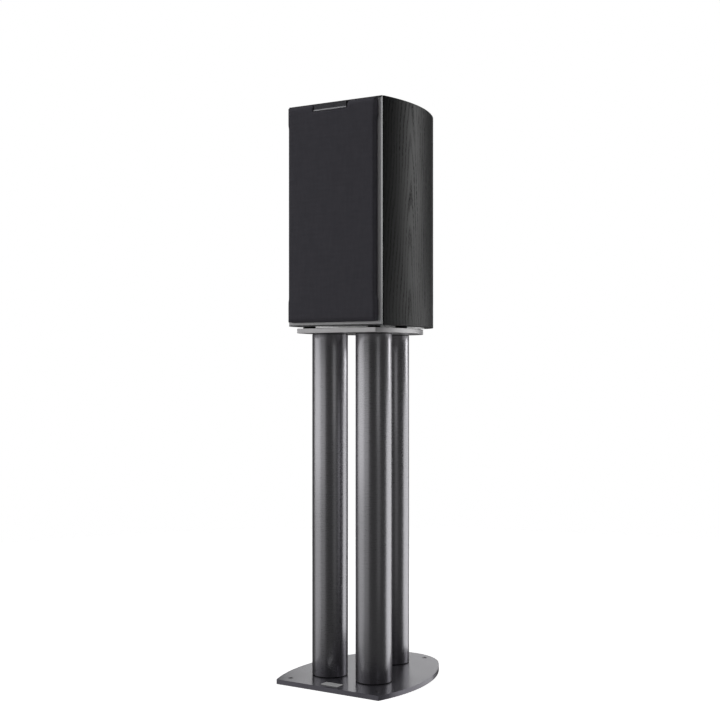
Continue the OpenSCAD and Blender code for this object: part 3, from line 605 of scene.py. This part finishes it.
def make_nameplate():
    """The blank plate on the base."""
    low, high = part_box("base_nameplate")
    plate = box_piece("nameplate_plate", low, high, 0.0005)
    place(plate, "stand", "nameplate_metal", "base_nameplate")


def make_spikes():
    """Levelling screws, flush with the plate, with a hexagon socket and a pointed tip."""
    r, tip, groove, turns, head = 0.004, 0.0022, 0.0004, 4, 0.0012
    socket_r, socket_d = 0.0018, 0.003
    for node in [n for n in frame["nodes"] if n.startswith("levelling_spike")]:
        low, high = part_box(node)
        c, h = (low + high) / 2, high.z - low.z
        profile = [(0.0, 0.0), (0.0005, 0.0), (r - groove, tip)]
        pitch = (h - head - tip) / turns
        for i in range(turns):
            z = tip + pitch * i
            profile += [(r, z + 0.3 * pitch), (r - groove, z + 0.8 * pitch)]
        profile += [(r, h - head), (r, h - 0.0003), (r - 0.0003, h), (0.0, h)]
        screw = lathe(node + "_screw", profile, (c.x, c.y, low.z), segments=40, closed=False)
        cut(screw, [hole_cutter(c, high.z - socket_d, high.z + 0.002, socket_r, 6)])
        place(screw, "spike_" + node[len("levelling_spike_"):], "black_steel", node)


def make_pads():
    """Three soft discs between the top plate and the cabinet, slightly waisted."""
    low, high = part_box("isolation_pads")
    r, t, soft, waist = PAD_R, high.z - low.z, 0.0006, 0.0002
    profile = [(0.0, 0.0), (r - soft, 0.0), (r, soft), (r - waist, t / 2), (r, t - soft),
               (r - soft, t), (0.0, t)]
    discs = [lathe("pad", profile, (x, y, low.z), segments=64, closed=False) for x, y in PAD_PLACES]
    pads = joined("isolation_pads_soft", discs)
    place(pads, "stand", "pad_rubber", "isolation_pads")


# ------------------------------------------------------------------ cabinet

def make_sides():
    """The two bowed side panels, smooth and with the veneer's grain upright."""
    back_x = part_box("rear_panel")[1].x
    for side, node in ((1, "side_panel_right"), (-1, "side_panel_left")):
        outer = [(x, y) for x, y in plan_curve(CABINET_PLAN, 0.0, SHADOW_GAP, 60, 60)
                 if y < CABINET_D]
        outer.append((back_x, CABINET_D))
        inner = [(x, y) for x, y in plan_curve(CABINET_PLAN, SIDE_T, SHADOW_GAP) if x > back_x]
        inner.append((back_x, CABINET_D - REAR_T))
        outline = [(side * x, y + SHELL_Y) for x, y in outer + inner[::-1]]
        panel = prism("ash_" + node, outline[::side], CABINET_BOTTOM, CABINET_TOP - VENEER_T)
        curve = np.array(outer)
        lengths = np.concatenate([[0], np.cumsum(np.linalg.norm(np.diff(curve, axis=0), axis=1))])
        bake_modifiers(bevel(panel, 0.0005, 2))

        def across_along(point, normal):
            gaps = np.hypot(curve[:, 0] - abs(point.x), curve[:, 1] - (point.y - SHELL_Y))
            return lengths[int(gaps.argmin())], point.z - CABINET_BOTTOM

        veneer_map(panel.data, across_along)
        place(panel, "speaker", "ash_veneer", node)


def make_top():
    """The sheet of veneer over the cabinet's top, and the boards that end under it."""
    outline = [(x, min(y, CABINET_D) + SHELL_Y)
               for x, y in plan_outline(CABINET_PLAN, 0.0, 0.0, SHADOW_GAP)]
    outline = [p for i, p in enumerate(outline) if p != outline[i - 1]]
    sheet = prism("top_veneer", outline, CABINET_TOP - VENEER_T, CABINET_TOP)
    # The shift gives the top another part of the figure than the sides.
    veneer_map(sheet.data, lambda p, n: (p.x + 0.12, p.y + 0.2))
    place(bevel(sheet, 0.0002, 2), "speaker", "ash_veneer")
    for node in ("top_panel", "rear_panel"):
        board = bpy.data.objects.new(node + "_board", frame["nodes"][node].data.copy())
        bpy.context.scene.collection.objects.link(board)
        for vertex in board.data.vertices:
            vertex.co.z = min(vertex.co.z, CABINET_TOP - VENEER_T)
        place(bevel(board, 0.0003, 2, 35.0), "speaker", "ash_veneer", node)


def round_hole(z, r, depth, x=0.0, segments=96):
    """Cutting shape for a round hole in the baffle, from its face to depth."""
    profile = [(0.0, -depth), (r, -depth), (r, 0.01), (0.0, 0.01)]
    return lathe("cutter", profile, (x, BAFFLE_Y, z), "FRONT", segments, closed=False)


def make_baffle():
    """The baffle, with a mitred bevel round its face and a shadow gap beside the side panels."""
    half_w, middle = BAFFLE_HIGH.x, (CABINET_BOTTOM + CABINET_TOP) / 2
    half_h, core_d = (CABINET_TOP - CABINET_BOTTOM) / 2, BAFFLE_HIGH.y - BAFFLE_Y
    # The mitre is taller at the top. Behind the lip the core steps in, and then in again
    # between the sides.
    mitre, top_mitre = 0.0018, 0.0024
    step_side, step_top, clearance = 0.004, 0.002, 0.002
    b = bmesh.new()

    def ring(inset, depth, sides=0.0, top=0.0):
        w, h = half_w - inset - sides, half_h - inset
        return [b.verts.new((x * w, BAFFLE_Y + depth, middle + z * h - (top if z > 0 else 0.0)))
                for x, z in ((-1, -1), (1, -1), (1, 1), (-1, 1))]

    rings = [ring(mitre, 0.0, 0.0, top_mitre), ring(0.0, mitre), ring(0.0, LIP),
             ring(0.0, LIP, step_side, step_top), ring(0.0, LIP + SHADOW_GAP, step_side, step_top),
             ring(0.0, LIP + SHADOW_GAP, SIDE_T + clearance, VENEER_T),
             ring(0.0, core_d, SIDE_T + clearance, VENEER_T)]
    b.faces.new(rings[0])
    b.faces.new(rings[-1][::-1])
    for near, far in zip(rings, rings[1:]):
        for i in range(4):
            b.faces.new((near[i], near[(i + 1) % 4], far[(i + 1) % 4], far[i]))
    baffle = to_object("baffle_panel", b, 12.0)

    # Each drive unit has a hole through the baffle and a seat for its flange.
    play, through, cutters = 0.0002, 0.05, []
    for middle_node, flange_node, hole_r, seat_d in (
            ("woofer_cone", "woofer_basket", 0.0685, 0.006),
            ("tweeter_dome", "tweeter_faceplate", 0.035, 0.004)):
        z, seat_r = centre_of(middle_node).z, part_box(flange_node)[1].x + play
        cutters += [round_hole(z, hole_r, through), round_hole(z, seat_r, seat_d)]
    pegs_low, pegs_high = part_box("grille_pegs")
    peg_r, socket_r, socket_d = 0.003, 0.005, 0.009
    peg_x = pegs_high.x - peg_r
    cutters += [round_hole(z, socket_r, socket_d, x)
                for x in (-peg_x, peg_x) for z in (pegs_low.z + peg_r, pegs_high.z - peg_r)]
    cut(baffle, cutters)
    place(bevel(baffle, 0.0002, 2, 60.0), "speaker", "baffle_lacquer", "front_baffle")


# ------------------------------------------------------------------ drive units

def soft_step(t):
    """0 up to t = 0, 1 from t = 1 on, and a smooth rise between them."""
    t = min(1.0, max(0.0, t))
    return t * t * (3 - 2 * t)


def stretch_between(obj, inner_r, outer_r, at):
    """Bakes obj's transform into its mesh. The points at inner_r and outer_r are worked out but not
    used.
    """
    start, end = (at.x + inner_r, BAFFLE_Y, at.z), (at.x + outer_r, BAFFLE_Y, at.z)
    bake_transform(obj)
    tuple(start)
    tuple(end)


def finish(obj, slot_name, *nodes):
    obj.data.materials.append(MATERIALS[slot_name])
    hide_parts(*nodes)


def driver_part(name, profile, at, segments):
    """A turned part of a drive unit. profile is in mm, from its axis and the baffle's face."""
    points = [(r * MM, h * MM) for r, h in profile]
    return lathe(name, points, (at.x, BAFFLE_Y, at.z), "FRONT", segments)


def dome_profile(sphere, lift, half_chord, thickness):
    """Half section of a domed skin, out along its face and back behind it."""
    angles = [math.asin(half_chord / sphere) * i / 20 for i in range(21)]

    def skin(r):
        return [(r * math.sin(a), lift + r * math.cos(a)) for a in angles]
    return skin(sphere) + skin(sphere - thickness)[::-1]


def make_woofer():
    """Cone, dust cap, rubber surround and pleated spider."""
    at = centre_of("woofer_cone")

    def flare(t, back):
        """Point of the cone's slightly curved wall, t from its neck to its rim."""
        r = 19.6 + (48.2 - 19.6) * t
        return r, -23.2 + 21.3 * t - 0.9 * math.sin(math.pi * t) - back
    steps = [i / 16 for i in range(17)]
    profile = ([(17.0, -28.0), (17.0, -26.0), (18.2, -24.2)] + [flare(t, 0.0) for t in steps]
               + [(49.0, -1.9), (50.0, -1.9), (50.0, -2.6), (48.6, -2.7)]
               + [flare(t, 0.6) for t in steps[::-1]] + [(18.0, -26.6), (18.0, -28.0)])
    cone = driver_part("woofer_cone_paper", profile, at, 160)
    place(cone, "woofer_diaphragm", "cone_fibre", "woofer_cone")

    profile = dome_profile(28.0, -42.3, 20.0, 0.6)
    dust_cap = driver_part("woofer_dust_cap_dome", profile, at, 128)
    place(dust_cap, "woofer_diaphragm", "cone_fibre", "woofer_dust_cap")

    roll, roll_centre = 5.6, (56.0, -1.0)
    profile = ([(50.0, -1.88), (50.0, -1.2)] + arc(roll_centre, roll, math.pi, 0.0, 24)
               + [(62.2, -0.35), (66.2, -0.25), (66.2, -0.98)]
               + arc(roll_centre, roll - 0.8, 0.0, math.pi, 24) + [(51.2, -1.88)])
    surround = driver_part("woofer_surround_roll", profile, at, 144)
    stretch_between(surround, 0.0505, 0.0615, at)
    finish(surround, "surround_rubber", "woofer_surround")

    folds = [(17.1 + 21.2 * i / 96, -40.0 + 0.9 * math.sin(math.radians(15 * i)))
             for i in range(97)]
    profile = folds + [(r, h - 0.5) for r, h in folds[::-1]]
    spider = driver_part("woofer_spider_folds", profile, at, 96)
    stretch_between(spider, 0.019, 0.036, at)
    finish(spider, "spider_cloth", "woofer_spider")


def make_tweeter():
    """Dome, surround and the faceplate with its shallow horn."""
    at = centre_of("tweeter_dome")
    piece = driver_part("tweeter_dome_silk", dome_profile(18.0, -15.4, 12.44, 0.35), at, 128)
    place(piece, "tweeter_diaphragm", "dome_silk", "tweeter_dome")

    profile = ([(12.5, -2.68), (12.5, -2.4)] + arc((13.75, -2.4), 1.2, math.pi, 0.0, 16)
               + [(15.08, -2.4), (15.08, -2.68)])
    surround = driver_part("tweeter_surround_roll", profile, at, 128)
    stretch_between(surround, 0.0126, 0.0149, at)
    finish(surround, "surround_rubber", "tweeter_surround")

    horn = [(16.2 + 15.8 * t, -2.4 + 2.4 * math.sin(t * math.pi / 2))
            for t in (i / 16 for i in range(17))]
    profile = ([(15.2, -4.0), (15.2, -2.5)] + horn
               + [(48.9, 0.0), (49.7, -0.25), (50.0, -0.9), (50.0, -4.0)])
    plate = driver_part("tweeter_faceplate_horn", profile, at, 144)
    screw_ring_r, screw_hole_r = 0.043, 0.0019
    corners = [math.radians(45 + 90 * i) for i in range(4)]
    cut(plate, [round_hole(at.z + screw_ring_r * math.sin(a), screw_hole_r, 0.006,
                           at.x + screw_ring_r * math.cos(a), 32) for a in corners])
    place(plate, "speaker", "faceplate_plastic", "tweeter_faceplate")


def make_wadding():
    """The damping pad behind the woofer, softly uneven."""
    low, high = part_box("acoustic_wadding")
    b = bmesh.new()
    bmesh.ops.create_cube(b, size=1.0)
    bmesh.ops.subdivide_edges(b, edges=b.edges[:], cuts=23, use_grid_fill=True)
    half, middle = (high - low) / 2, (high + low) / 2
    soft, inset, dent_size, least_dent = 0.010, 0.0012, 0.0006, -0.001
    draw = random.Random(4)
    waves = [(Vector((draw.uniform(-1, 1), draw.uniform(-1, 1), draw.uniform(-1, 1))) * 160,
              draw.uniform(0, 6)) for _ in range(12)]
    for v in b.verts:
        p = Vector((2 * v.co.x * half.x, 2 * v.co.y * half.y, 2 * v.co.z * half.z))
        inner = Vector([max(-h + soft, min(h - soft, c)) for c, h in zip(p, half)])
        out = p - inner
        if out.length > 1e-9:
            dent = dent_size * sum(math.sin(w.dot(p) + phase) for w, phase in waves) / 3
            p = inner + out.normalized() * (soft - inset - max(least_dent, dent))
        v.co = p + middle
    pad = to_object("acoustic_wadding_pad", b, 60.0)
    place(pad, "speaker", "wadding_felt", "acoustic_wadding")


def round_cad_edges():
    """Fine rounding on the CAD parts that are seen when the grille is off or from behind."""
    widths_mm = {
        0.4: ("woofer_basket", "terminal_knob_left", "terminal_knob_right", "grille_pegs"),
        0.3: ("terminal_plate", "tie_rod_nuts"),
        0.25: ("terminal_collar_left", "terminal_collar_right"),
        0.2: ("terminal_posts", "grille_sockets"),
        0.15: ("port_screws", "woofer_screws", "tweeter_screws", "terminal_screws"),
    }
    for width, nodes in widths_mm.items():
        for node in nodes:
            bevel(frame["nodes"][node], width * MM, 2, 35.0)


# ------------------------------------------------------------------ grille

def make_cloth():
    """The grille's cloth: stretched over the frame, rolled over its bevels and folded behind it."""
    low, high = CLOTH_LOW, CLOTH_HIGH
    half_w, t, corner_r = high.x, high.y - low.y, 0.0025
    side_bevel, end_bevel = 0.004, 0.0075
    # The notch for the badge: half its width, its lower edge and its depth.
    notch_w, notch_z, notch_t = BADGE_HIGH.x + 0.0023, BADGE_LOW.z - 0.0006, 0.0074
    # The finger recess along each side: its depth, its run-out at the ends and its two levels.
    recess, slope = 0.0016, 0.008
    recess_low, recess_high = CABINET_BOTTOM + 0.039, CABINET_TOP - 0.033

    def lines(first, last, fixed, step):
        """Levels from first to last, about a step apart, with the fixed ones among them."""
        marks = sorted([first, last, *fixed])
        out = [first]
        for a, b in zip(marks, marks[1:]):
            n = max(1, round((b - a) / step))
            out += [a + (b - a) * (i + 1) / n for i in range(n)]
        return out

    xs = lines(-half_w + side_bevel, half_w - side_bevel, [-notch_w, notch_w], 0.004)
    zs = lines(low.z + end_bevel, high.z - end_bevel, [notch_z], 0.004)
    b = bmesh.new()
    grid = {(i, k): b.verts.new((x, low.y, z)) for i, x in enumerate(xs) for k, z in enumerate(zs)}
    for i in range(len(xs) - 1):
        for k in range(len(zs) - 1):
            if abs(xs[i] + xs[i + 1]) / 2 < notch_w and zs[k] + zs[k + 1] > 2 * notch_z:
                continue
            b.faces.new((grid[i, k], grid[i + 1, k], grid[i + 1, k + 1], grid[i, k + 1]))
    last_i, last_k = len(xs) - 1, len(zs) - 1
    rim = ([(i, 0) for i in range(last_i)] + [(last_i, k) for k in range(last_k)]
           + [(i, last_k) for i in range(last_i, 0, -1)] + [(0, k) for k in range(last_k, 0, -1)])

    def recessed(z):
        """Depth of the finger recess at a level."""
        return recess * soft_step(min(z - recess_low, recess_high - z) / slope)

    def rounded(x, z):
        """The point, drawn in to the outline's rounded corners."""
        r = corner_r
        cx, cz = half_w - r, (high.z - low.z) / 2 - r
        mid = (high.z + low.z) / 2
        dx, dz = abs(x) - cx, abs(z - mid) - cz
        if dx > 0 and dz > 0:
            d = math.hypot(dx, dz)
            if d > r:
                dx, dz = dx * r / d, dz * r / d
                return math.copysign(cx + dx, x), mid + math.copysign(cz + dz, z - mid)
        return x, z

    # share of the bevel still to go, depth behind the front face, fold behind the frame
    profile = [(0.86, 0.00008, 0), (0.70, 0.00040, 0), (0.50, 0.00105, 0), (0.30, 0.00190, 0),
               (0.12, 0.0030, 0), (0.0, 0.0042, 0), (0.0, 0.0056, 0), (0.0, notch_t, 0),
               (0.0, t - 0.0012, 0), (0.0, t - 0.0003, 0.0003), (0.0, t, 0.001), (0.0, t, 0.004),
               (0.0, t, 0.0068)]
    previous = [grid[c] for c in rim]
    for share, depth, fold in profile:
        ring = []
        for i, k in rim:
            sx = -1 if i == 0 else 1 if i == last_i else 0
            sz = -1 if k == 0 else 1 if k == last_k else 0
            x = xs[i] + sx * side_bevel * (1 - share)
            z = zs[k] + sz * end_bevel * (1 - share)
            x -= sx * recessed(z) * (1 - share)
            x, z = rounded(x, z)
            ring.append(b.verts.new((x - sx * fold, low.y + depth, z - sz * fold)))
        n = len(rim)
        for j in range(n):
            (i0, k0), (i1, k1) = rim[j], rim[(j + 1) % n]
            in_notch = k0 == last_k and k1 == last_k and abs(xs[i0] + xs[i1]) / 2 < notch_w
            if in_notch and depth <= notch_t + 1e-6:
                continue
            b.faces.new((previous[j], previous[(j + 1) % n], ring[(j + 1) % n], ring[j]))
        previous = ring
    loose = [v for v in b.verts if not v.link_faces]
    bmesh.ops.delete(b, geom=loose, context="VERTS")
    cloth = to_object("grille_cloth_sheet", b, 50.0)
    thick = cloth.modifiers.new("cloth", "SOLIDIFY")
    thick.thickness = 0.0005
    thick.offset = -1.0
    bake_modifiers(cloth)
    place(cloth, "grille", "grille_fabric", "grille_cloth")


def make_badge():
    """A plain badge: a dark plate, and along its lower edge a bar in a lighter copy of its finish,
    a painted highlight.
    """
    low, high = BADGE_LOW, BADGE_HIGH
    plate = box_piece("badge_plate", (low.x, low.y + 0.0002, low.z), high, 0.0006)
    place(plate, "grille", "badge_gloss", "grille_badge")
    bar = box_piece("badge_edge_painted_highlight", low, (high.x, low.y + 0.003, low.z + 0.0024), 0.0004)
    place(bar, "grille", "badge_gloss")
    # Same slot as the plate, but a lighter copy of its finish: a painted highlight along the lower
    # edge.
    bar.data.materials[0] = MATERIALS["badge_rim"]


# ------------------------------------------------------------------ stage

def area_light(name, width, height, radiance, location, facing):
    """A soft light of even radiance that the camera doesn't see."""
    data = bpy.data.lights.new(name, "AREA")
    data.shape = "RECTANGLE"
    data.size, data.size_y = width, height
    data.energy = math.pi * radiance * width * height
    light = bpy.data.objects.new(name, data)
    light.location = location
    light.rotation_euler = facing.to_track_quat("-Z", "Y").to_euler()
    light.visible_camera = False
    bpy.context.scene.collection.objects.link(light)
    return light


def soft_box(name, turn, distance, width, low, high, radiance):
    """An upright soft light between two levels, facing the object. turn is degrees round the
    object from the camera, to the camera's right."""
    angle = CAMERA_TURN - math.pi / 2 + math.radians(turn)
    location = (distance * math.cos(angle), distance * math.sin(angle), (low + high) / 2)
    facing = Vector((-math.cos(angle), -math.sin(angle), 0))
    area_light(name, width, high - low, radiance, location, facing)


def make_floor():
    """A pale floor that fades out round the object and isn't seen in reflections."""
    size, level = 30, -0.0004
    b = bmesh.new()
    b.faces.new([b.verts.new((x * size, y * size, level))
                 for x, y in ((-1, -1), (1, -1), (1, 1), (-1, 1))])
    floor = to_object("floor", b)
    p = Paint("pale_floor")
    p.set(Base_Color=p.ramp(p.noise(3.0), [(0.3, (0.86, 0.86, 0.86)), (0.7, (0.88, 0.88, 0.88))]),
          Roughness=0.9, Specular_IOR_Level=0.0, Emission_Color=(1, 1, 1), Emission_Strength=0.86)
    away = p.node("ShaderNodeVectorMath", {0: p.where}, operation="LENGTH").outputs["Value"]
    p.set(Alpha=p.span(away, 0.9, 2.0, 1.0, 0.0))
    floor.data.materials.append(p.material)
    floor.visible_glossy = floor.visible_diffuse = floor.visible_shadow = False


def make_world():
    """White to the camera; in reflections dark, and darker still overhead; dim to all else."""
    world = bpy.data.worlds.new("studio")
    bpy.context.scene.world = world
    world.use_nodes = True
    tree = world.node_tree
    tree.nodes.clear()
    add, link = tree.nodes.new, tree.links.new

    def background(strength):
        shader = add("ShaderNodeBackground")
        shader.inputs["Color"].default_value = (1, 1, 1, 1)
        shader.inputs["Strength"].default_value = strength
        return shader

    def either(switch, off, on):
        mix = add("ShaderNodeMixShader")
        for socket, output in zip(mix.inputs, (switch, off.outputs[0], on.outputs[0])):
            link(output, socket)
        return mix

    ambient, seen, reflected = background(0.05), background(1.0), background(1.0)
    split, fall = add("ShaderNodeSeparateXYZ"), add("ShaderNodeMapRange")
    link(add("ShaderNodeTexCoord").outputs["Generated"], split.inputs[0])
    link(split.outputs["Z"], fall.inputs["Value"])
    steps = {"From Min": 0.3, "From Max": 0.7, "To Min": 0.05, "To Max": 0.008}
    for socket, value in steps.items():
        fall.inputs[socket].default_value = value
    link(fall.outputs["Result"], reflected.inputs["Strength"])
    path = add("ShaderNodeLightPath")
    unseen = either(path.outputs["Is Glossy Ray"], ambient, reflected)
    both = either(path.outputs["Is Camera Ray"], unseen, seen)
    link(both.outputs[0], add("ShaderNodeOutputWorld").inputs["Surface"])


def make_lights():
    """Upright panels all round, each over a weaker one that stands in for light off the floor,
    and a wide light overhead that isn't seen in reflections."""
    # name, turn, distance, width, low, high, radiance
    panels = (
        ("left", -88, 2.2, 2.1, 0.2, 1.35, 1.05),
        ("left_low", -88, 2.2, 2.1, -1.1, 0.2, 0.55),
        ("wing", -46, 2.2, 1.2, 0.2, 1.35, 0.50),
        ("wing_low", -46, 2.2, 1.2, -1.1, 0.2, 0.25),
        ("front", 27, 2.8, 0.8, 0.82, 1.7, 0.50),
        ("front_low", 30, 2.8, 1.0, -1.0, 0.82, 0.13),
        ("right", 118, 2.0, 0.70, 0.78, 1.62, 2.65),
        ("right_low", 113, 2.0, 2.2, -1.05, 0.78, 1.1),
        ("back", 175, 3.6, 1.4, 0.4, 2.3, 0.95),
    )
    for panel in panels:
        soft_box(*panel)
    place_above, target, size, radiance = Vector((0.3, -0.9, 4.0)), Vector((0, 0, 0.2)), 2.4, 2.0
    overhead = area_light("overhead", size, size, radiance, place_above, target - place_above)
    overhead.visible_glossy = False


# ------------------------------------------------------------------ build

MATERIALS = make_materials()
make_camera()
finish_cad_nodes()
make_plates()
make_tubes()
make_nameplate()
make_spikes()
make_pads()
make_sides()
make_top()
make_baffle()
make_woofer()
make_tweeter()
make_wadding()
round_cad_edges()
make_cloth()
make_badge()
make_floor()
make_world()
make_lights()
bpy.context.scene.view_settings.view_transform = "Standard"
